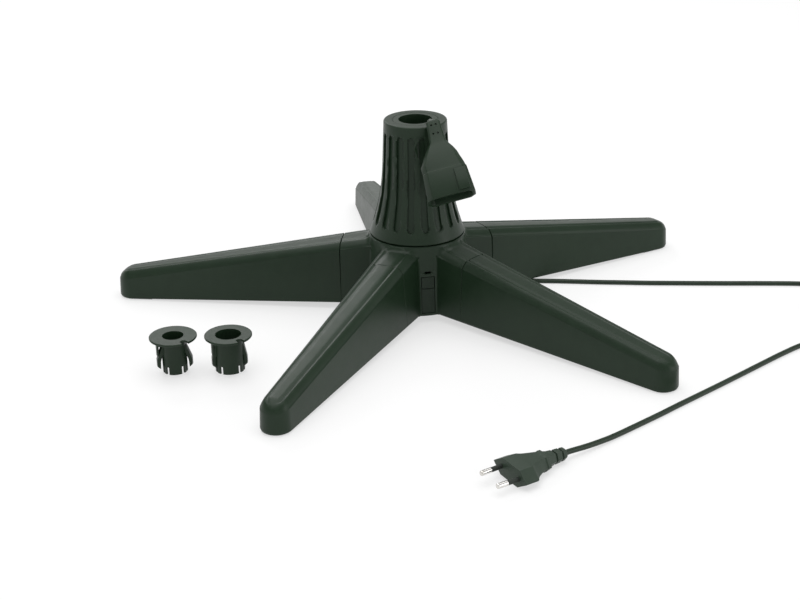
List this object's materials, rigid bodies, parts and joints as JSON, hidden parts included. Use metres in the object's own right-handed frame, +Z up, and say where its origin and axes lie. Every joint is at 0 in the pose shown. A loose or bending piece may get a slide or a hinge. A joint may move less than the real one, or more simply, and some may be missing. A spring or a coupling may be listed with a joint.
{
  "type": "rotating christmas tree stand",
  "caption": "Motor-driven rotating tree stand: legs plug onto a hub, a fluted cone turns on a ball bearing with the pole, and slip rings feed a coupling that turns with it.",
  "frame": {"origin": "on the floor, on the axis of the rotor", "axes": "+Z up along the rotor's axis; -Y towards the hub's front panel with its switch; one leg points to +Y"},
  "size_m": [0.6466, 0.6071, 0.1737],
  "materials": {
    "green_plastic": "satin moulded dark green plastic with a fine texture",
    "inner_plastic": "plain moulded dark plastic",
    "natural_plastic": "natural white nylon",
    "steel": "zinc-plated and ground steel",
    "pin_metal": "nickel-plated brass",
    "copper": "plain copper alloy",
    "rubber": "black rubber",
    "cord_sheath": "smooth flexible dark green sheath",
    "plug_plastic": "moulded dark green plastic, satin"
  },
  "bodies": {
    "base": {"hub_casing": "green_plastic", "bottom_cover": "inner_plastic", "cover_screws": "steel", "leg_1": "green_plastic", "leg_2": "green_plastic", "leg_3": "green_plastic", "leg_4": "green_plastic", "leg_5": "green_plastic", "foot_pads": "rubber", "brush_holder": "natural_plastic", "brushes": "copper", "upper_bush": "natural_plastic", "lower_bush": "natural_plastic", "bearing_lower_race": "steel", "motor_plate": "steel", "plate_screws": "steel", "gear_motor": "steel", "motor_screws": "steel", "terminal_block": "natural_plastic", "switch_body": "inner_plastic", "cord_gland": "inner_plastic", "cord_back_run": "cord_sheath", "cord_coil": "cord_sheath", "cord_front_run": "cord_sheath", "plug_body": "plug_plastic", "plug_pins": "pin_metal", "plug_sleeves": "rubber", "small_insert": "green_plastic", "middle_insert": "green_plastic"},
    "rotor": {"rotor_cone": "green_plastic", "spindle": "inner_plastic", "rotor_screws": "steel", "drive_gear": "natural_plastic", "gear_screw": "steel", "ring_carrier": "natural_plastic", "slip_rings": "copper", "bearing_upper_race": "steel", "coupling_lead": "cord_sheath"},
    "pinion": {"motor_pinion": "steel"},
    "cage": {"bearing_balls": "steel", "bearing_cage": "copper"},
    "insert": {"pole_insert": "green_plastic"},
    "coupling": {"coupling_housing": "green_plastic", "coupling_face": "inner_plastic", "coupling_contacts": "copper"},
    "rocker": {"switch_rocker": "inner_plastic"}
  },
  "joints": [
    {"name": "rotor_spin", "type": "hinge", "parent": "base", "child": "rotor", "pos_m": [0, 0, 0.1], "axis": [0, 0, 1], "continuous": true},
    {"name": "pinion_spin", "type": "hinge", "parent": "base", "child": "pinion", "pos_m": [0, 0.03, 0.036], "axis": [0, 0, 1], "continuous": true},
    {"name": "cage_spin", "type": "hinge", "parent": "base", "child": "cage", "pos_m": [0, 0, 0.0712], "axis": [0, 0, 1], "continuous": true},
    {"name": "insert_lift", "type": "slide", "parent": "rotor", "child": "insert", "axis": [0, 0, 1], "range_m": [0, 0.04]},
    {"name": "coupling_swing", "type": "hinge", "parent": "rotor", "child": "coupling", "pos_m": [0.0086, -0.0253, 0.1706], "axis": [0.9657, -0.1196, 0.2306], "range_deg": [-45, 6]},
    {"name": "rocker_tilt", "type": "hinge", "parent": "base", "child": "rocker", "pos_m": [0, -0.03661, 0.0359], "axis": [1, 0, 0], "range_deg": [0, 5]}
  ],
  "couplings": [
    {"joint": "pinion_spin", "follows": "rotor_spin", "ratio": -4},
    {"joint": "cage_spin", "follows": "rotor_spin", "ratio": 0.5}
  ]
}
